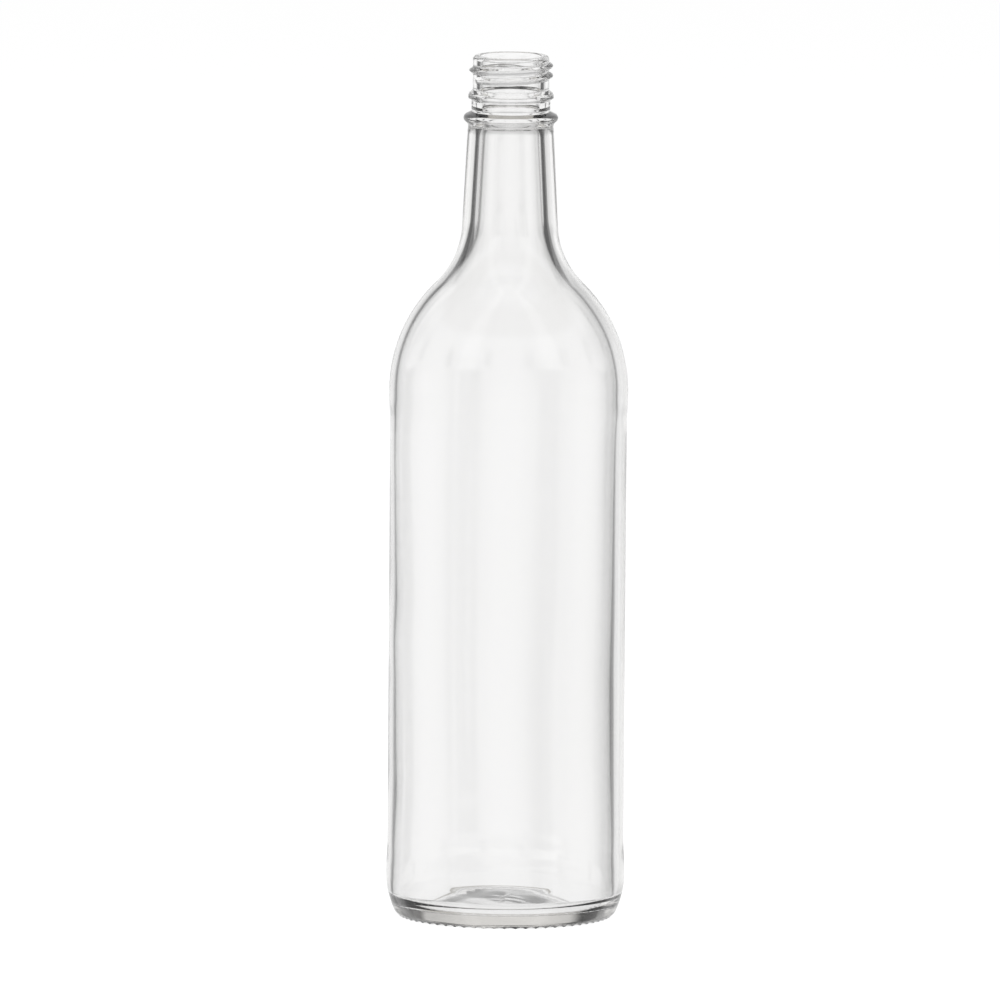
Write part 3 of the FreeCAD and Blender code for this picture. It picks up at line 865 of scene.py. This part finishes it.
@dataclass(frozen=True)
class Surround:
    """What lies all round the bottle: white as the camera sees it.

    What the glass bends is white too, with a dark frame round a white window on each of the four
    sides. Below the split, eight upright dark strips stand in the frames' stead, and a warm grey
    ground lies under them. What the glass mirrors is a little dimmer, with a soft upright light
    at each corner.

    Attributes:
        white: brightness that the camera sees.
        ambient: brightness that lights the scene.
        fall: how much the white dims away from the windows and between the strips.
        fall_from: angle where it starts to dim.
        fall_to: angle where it has dimmed.
        window_rise: how high the windows' middles stand.
        left_frame: the frame on a window's left.
        right_frame: the frame on its right.
        side_blend: angle over which the left frame passes to the right one.
        frame_top: how high the frames reach.
        frame_top_fade: angle over which their tops fade.
        gap_from: bearing from a window's middle within which its frame is open above and below.
        gap_to: bearing where it is whole.
        canopy_foot: height where the shade above begins.
        canopy_top: height where it is whole.
        canopy_shade: what it leaves of the light.
        split: height that parts the frames from the strips.
        split_edge: half the angle over which one passes to the other.
        strip_top: height where the strips end.
        strip_top_fade: angle over which their tops fade.
        strip_foot: height where the strips begin to fade below.
        strip_foot_fade: angle over which their feet fade.
        strip_width: half the width of a strip.
        strip_edge: angle over which its sides fade.
        strip_level: brightness of a strip.
        ground_from: height where the ground's colour begins.
        ground_full: height where it is whole.
        ground_end: height where it begins to fade again.
        ground_gone: height where the view straight down is white.
        ground: colour of the ground.
        mirrored: brightness of what the glass mirrors.
        mirrored_light: brightness of the soft lights in it.
        light_from: bearing from a side's middle where a soft light begins.
        light_to: bearing where it is whole.
    """

    white: float = 1.0
    ambient: float = 0.85
    fall: float = 0.28
    fall_from: float = math.radians(8.0)
    fall_to: float = math.radians(33.0)
    window_rise: float = math.radians(-5.0)
    left_frame: DarkFrame = DarkFrame(
        inner=math.radians(25.0), outer=math.radians(60.0),
        fade_in=math.radians(9.0), fade_out=math.radians(7.0), level=0.05)
    right_frame: DarkFrame = DarkFrame(
        inner=math.radians(34.0), outer=math.radians(62.0),
        fade_in=math.radians(6.0), fade_out=math.radians(7.0), level=0.18)
    side_blend: float = math.radians(12.0)
    frame_top: float = math.radians(21.0)
    frame_top_fade: float = math.radians(8.0)
    gap_from: float = math.radians(9.0)
    gap_to: float = math.radians(19.0)
    canopy_foot: float = math.radians(1.0)
    canopy_top: float = math.radians(9.0)
    canopy_shade: float = 0.8
    split: float = math.radians(-11.6)
    split_edge: float = math.radians(1.2)
    strip_top: float = math.radians(-13.2)
    strip_top_fade: float = math.radians(1.5)
    strip_foot: float = math.radians(-24.0)
    strip_foot_fade: float = math.radians(8.0)
    strip_width: float = math.radians(5.0)
    strip_edge: float = math.radians(4.0)
    strip_level: float = 0.05
    ground_from: float = math.radians(-36.0)
    ground_full: float = math.radians(-44.0)
    ground_end: float = math.radians(-62.0)
    ground_gone: float = math.radians(-72.0)
    ground: Colour = (0.5, 0.485, 0.455, 1.0)
    mirrored: float = 0.95
    mirrored_light: float = 1.5
    light_from: float = math.radians(31.0)
    light_to: float = math.radians(40.0)

    def bent_light(self, desk: NodeDesk, bearing: bpy.types.NodeSocket,
                   rise: bpy.types.NodeSocket) -> bpy.types.NodeSocket:
        """Work out how bright the surround is to a ray that the glass has bent.

        Args:
            desk: the world's nodes.
            bearing: direction round the bottle.
            rise: direction above the horizon.

        Returns:
            The brightness in that direction.
        """
        upper = desk.ramp(rise, self.split - self.split_edge, self.split + self.split_edge)
        quarter = desk.math("WRAP", bearing, math.pi / 4.0, -math.pi / 4.0)
        eighth = desk.math("PINGPONG", bearing, math.pi / 8.0)
        lift = desk.math("SUBTRACT", rise, self.window_rise)
        away = desk.math("SQRT", desk.math("ADD", desk.product(quarter, quarter),
                                           desk.product(lift, lift)))
        fall = desk.mix(upper, desk.ramp(eighth, self.fall_from, self.fall_to),
                        desk.ramp(away, self.fall_from, self.fall_to))
        canopy = desk.mix(desk.ramp(rise, self.canopy_foot, self.canopy_top), 1.0,
                          self.canopy_shade)
        level = desk.product(desk.mix(fall, self.white, self.white - self.fall), canopy)
        level = self.add_frames(desk, level, (quarter, rise, away), upper)
        return self.add_strips(desk, level, eighth, rise)

    def add_frames(self, desk: NodeDesk, level: bpy.types.NodeSocket,
                   place: tuple[bpy.types.NodeSocket, ...],
                   upper: bpy.types.NodeSocket) -> bpy.types.NodeSocket:
        """Darken the surround where the windows' frames are.

        Args:
            desk: the world's nodes.
            level: brightness without the frames.
            place: bearing from the nearest window, rise, and angle from the window's middle.
            upper: 1 above the split, 0 below it.

        Returns:
            The brightness with the frames.
        """
        quarter, rise, away = place
        right = desk.ramp(quarter, -self.side_blend, self.side_blend)
        left = desk.math("SUBTRACT", 1.0, right)
        band = desk.product(upper,
                            desk.ramp(rise, self.frame_top + self.frame_top_fade, self.frame_top),
                            desk.ramp(desk.math("ABSOLUTE", quarter), self.gap_from, self.gap_to))
        for frame, share in ((self.left_frame, left), (self.right_frame, right)):
            cover = desk.product(frame.cover(desk, away), desk.product(share, band))
            level = desk.mix(cover, level, frame.level)
        return level

    def add_strips(self, desk: NodeDesk, level: bpy.types.NodeSocket,
                   eighth: bpy.types.NodeSocket,
                   rise: bpy.types.NodeSocket) -> bpy.types.NodeSocket:
        """Darken the surround where the upright strips are.

        Args:
            desk: the world's nodes.
            level: brightness without the strips.
            eighth: bearing from the middle of the nearest gap between strips.
            rise: direction above the horizon.

        Returns:
            The brightness with the strips.
        """
        side = math.pi / 8.0 - self.strip_width
        strip = desk.ramp(eighth, side, side + self.strip_edge)
        tall = desk.product(
            desk.ramp(rise, self.strip_top, self.strip_top - self.strip_top_fade),
            desk.ramp(rise, self.strip_foot - self.strip_foot_fade, self.strip_foot))
        return desk.mix(desk.product(strip, tall), level, self.strip_level)

    def build(self) -> None:
        """Set the world."""
        world = bpy.data.worlds.new("studio_surround")
        bpy.context.scene.world = world
        world.use_nodes = True
        tree = world.node_tree
        tree.nodes.clear()
        desk = NodeDesk(tree)
        place = tree.nodes.new("ShaderNodeTexCoord")
        split = tree.nodes.new("ShaderNodeSeparateXYZ")
        desk.put(split.inputs[0], place.outputs["Generated"])
        bearing = desk.math("ARCTAN2", split.outputs["X"], split.outputs["Y"])
        rise = desk.math("ARCSINE", split.outputs["Z"])
        path = tree.nodes.new("ShaderNodeLightPath")
        bent = self.bent_light(desk, bearing, rise)
        corner = desk.ramp(desk.math("PINGPONG", bearing, math.pi / 4.0),
                           self.light_from, self.light_to)
        mirrored = desk.mix(corner, self.mirrored, self.mirrored_light)
        level = desk.mix(path.outputs["Is Camera Ray"], self.ambient, self.white)
        level = desk.mix(path.outputs["Is Glossy Ray"], level, mirrored)
        level = desk.mix(path.outputs["Is Transmission Ray"], level, bent)
        ground = desk.product(desk.ramp(rise, self.ground_from, self.ground_full),
                              desk.ramp(rise, self.ground_gone, self.ground_end),
                              path.outputs["Is Transmission Ray"])
        plain = (self.white, self.white, self.white, 1.0)
        back = tree.nodes.new("ShaderNodeBackground")
        desk.put(back.inputs["Color"], desk.tone(ground, plain, self.ground))
        desk.put(back.inputs["Strength"], level)
        out = tree.nodes.new("ShaderNodeOutputWorld")
        desk.put(out.inputs["Surface"], back.outputs[0])


@dataclass(frozen=True)
class Lamps:
    """Two soft lamps, one on either side, in front of the bottle.

    Attributes:
        side: how far each stands to its side.
        front: how far in front both stand.
        height: how high both hang.
        width: width of the lit face.
        length: height of the lit face.
        power: of each, in watts.
    """

    side: float = 1.2
    front: float = 1.4
    height: float = 1.3
    width: float = 0.5
    length: float = 1.4
    power: float = 90.0

    def build(self, aim: Vector) -> None:
        """Hang the lamps.

        Args:
            aim: the place that both are turned to.
        """
        for name, x in (("lamp_left", -self.side), ("lamp_right", self.side)):
            place = Vector((x, -self.front, self.height))
            bpy.ops.object.light_add(type="AREA", location=place)
            lamp = bpy.context.active_object
            lamp.name = name
            lamp.rotation_euler = (aim - place).to_track_quat("-Z", "Y").to_euler()
            lamp.data.shape = "RECTANGLE"
            lamp.data.size = self.width
            lamp.data.size_y = self.length
            lamp.data.energy = self.power
            lamp.visible_glossy = False
            lamp.visible_transmission = False


@dataclass(frozen=True)
class FrontCamera:
    """A long lens in front of the bottle, slightly above it.

    Attributes:
        lens: focal length in millimetres.
        distance: from the camera to the place it looks at.
        elevation: how far above the horizon it stands.
        roll: how far it is turned about its own line of sight.
        view_depth: the farthest that it sees.
    """

    lens: float = 923.0
    distance: float = 8.372
    elevation: float = math.radians(7.298)
    roll: float = math.radians(0.423)
    view_depth: float = 100.0

    def build(self, aim: Vector) -> None:
        """Stand the camera and make it the scene's.

        Args:
            aim: the place that it looks at.
        """
        back = Vector((0.0, -math.cos(self.elevation), math.sin(self.elevation)))
        deselect_all()
        bpy.ops.object.camera_add(location=aim + back * self.distance)
        camera = bpy.context.active_object
        camera.name = "front_camera"
        turn = (-back).to_track_quat("-Z", "Y").to_matrix().to_4x4()
        tilt = Matrix.Rotation(self.roll, 4, "Z")
        camera.rotation_euler = (turn @ tilt).to_euler()
        camera.data.lens = self.lens
        camera.data.clip_end = self.view_depth
        bpy.context.scene.camera = camera


@dataclass
class Studio:
    """A plain white studio: floor, surround, lamps and camera.

    Attributes:
        floor_size: length of the floor's sides.
        floor_share: how much of the floor is lit by the lamps. The rest is white by itself.
        floor_colour: colour of the lit part.
        aim: the place in the bottle that the lamps and the camera are turned to.
        surround: what lies all round.
        lamps: the two soft lamps.
        camera: the camera and where it stands.
    """

    floor_size: float = 6.0
    floor_share: float = 0.2
    floor_colour: Colour = (0.9, 0.9, 0.9, 1.0)
    aim: tuple[float, float, float] = (-2.6 * MM, 0.0, 136.6 * MM)
    surround: Surround = Surround()
    lamps: Lamps = Lamps()
    camera: FrontCamera = FrontCamera()

    def make_floor(self) -> bpy.types.Object:
        """Lay the white floor and return it."""
        deselect_all()
        bpy.ops.mesh.primitive_plane_add(size=self.floor_size, location=(0.0, 0.0, 0.0))
        floor = bpy.context.active_object
        floor.name = "studio_floor"
        floor.visible_transmission = False
        floor.visible_glossy = False
        material = bpy.data.materials.new("white_table")
        material.use_nodes = True
        nodes, links = material.node_tree.nodes, material.node_tree.links
        nodes.clear()
        out = nodes.new("ShaderNodeOutputMaterial")
        mix = nodes.new("ShaderNodeMixShader")
        mix.inputs["Fac"].default_value = self.floor_share
        glow = nodes.new("ShaderNodeEmission")
        glow.inputs["Strength"].default_value = self.surround.white
        matte = nodes.new("ShaderNodeBsdfDiffuse")
        matte.inputs["Color"].default_value = self.floor_colour
        links.new(glow.outputs[0], mix.inputs[1])
        links.new(matte.outputs[0], mix.inputs[2])
        links.new(mix.outputs[0], out.inputs["Surface"])
        floor.data.materials.append(material)
        return floor

    def build(self) -> None:
        """Make the studio."""
        floor = self.make_floor()
        self.surround.build()
        self.lamps.build(Vector(self.aim))
        self.camera.build(Vector(self.aim))
        bpy.context.scene.view_settings.view_transform = "Standard"
        LOG.info("%s, surround, lamps and camera are in place", floor.name)


def main() -> None:
    """Load the frame, build the bottle and the studio, and report."""
    logging.basicConfig(level=logging.INFO, format="%(name)s: %(message)s")
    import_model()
    low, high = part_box(NODE)
    bottle = GlassBottle(height=high.z - low.z)
    shell = bottle.build()
    shell.data.materials.clear()
    shell.data.materials.append(ClearGlass().build())
    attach(shell, BODY)
    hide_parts(NODE)
    LOG.info("%s: %d faces, %.1f mm high", shell.name, len(shell.data.polygons),
             shell.dimensions.z / MM)
    Studio().build()


if __name__ == "__main__":
    main()
